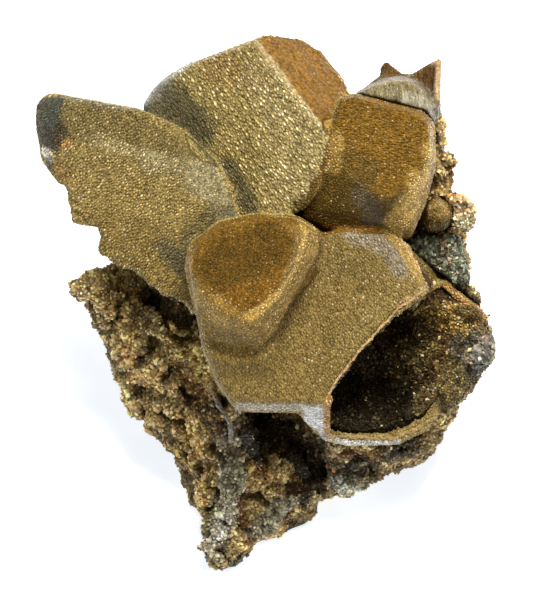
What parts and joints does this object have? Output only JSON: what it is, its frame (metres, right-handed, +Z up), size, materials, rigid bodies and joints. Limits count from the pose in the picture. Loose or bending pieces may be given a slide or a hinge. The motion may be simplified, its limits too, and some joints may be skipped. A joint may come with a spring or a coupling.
{
  "type": "siderite mineral specimen",
  "caption": "Thin-walled siderite crystals, one broken open and lined with druse, grown on a crumbly brown matrix.",
  "frame": {"origin": "on the table, under the middle of the specimen's box", "axes": "+Z up from the flat cut that it rests on, -Y towards the side that the crystals face"},
  "size_m": [0.0642, 0.0686, 0.0519],
  "materials": {
    "bronze_siderite": "glittering druse skin over bronze-brown faces",
    "dark_druse": "sharp dark crystals with golden glints",
    "pale_siderite": "silky, striated",
    "brown_siderite": "finely sparkling",
    "green_grains": "granular",
    "brown_matrix": "rough, porous, crumbly"
  },
  "bodies": {
    "root": {"siderite_crystals": "bronze_siderite", "hollow_lining": "dark_druse", "rear_crystal": "pale_siderite", "side_crystal": "brown_siderite", "green_druse": "green_grains", "matrix": "brown_matrix"}
  },
  "joints": []
}
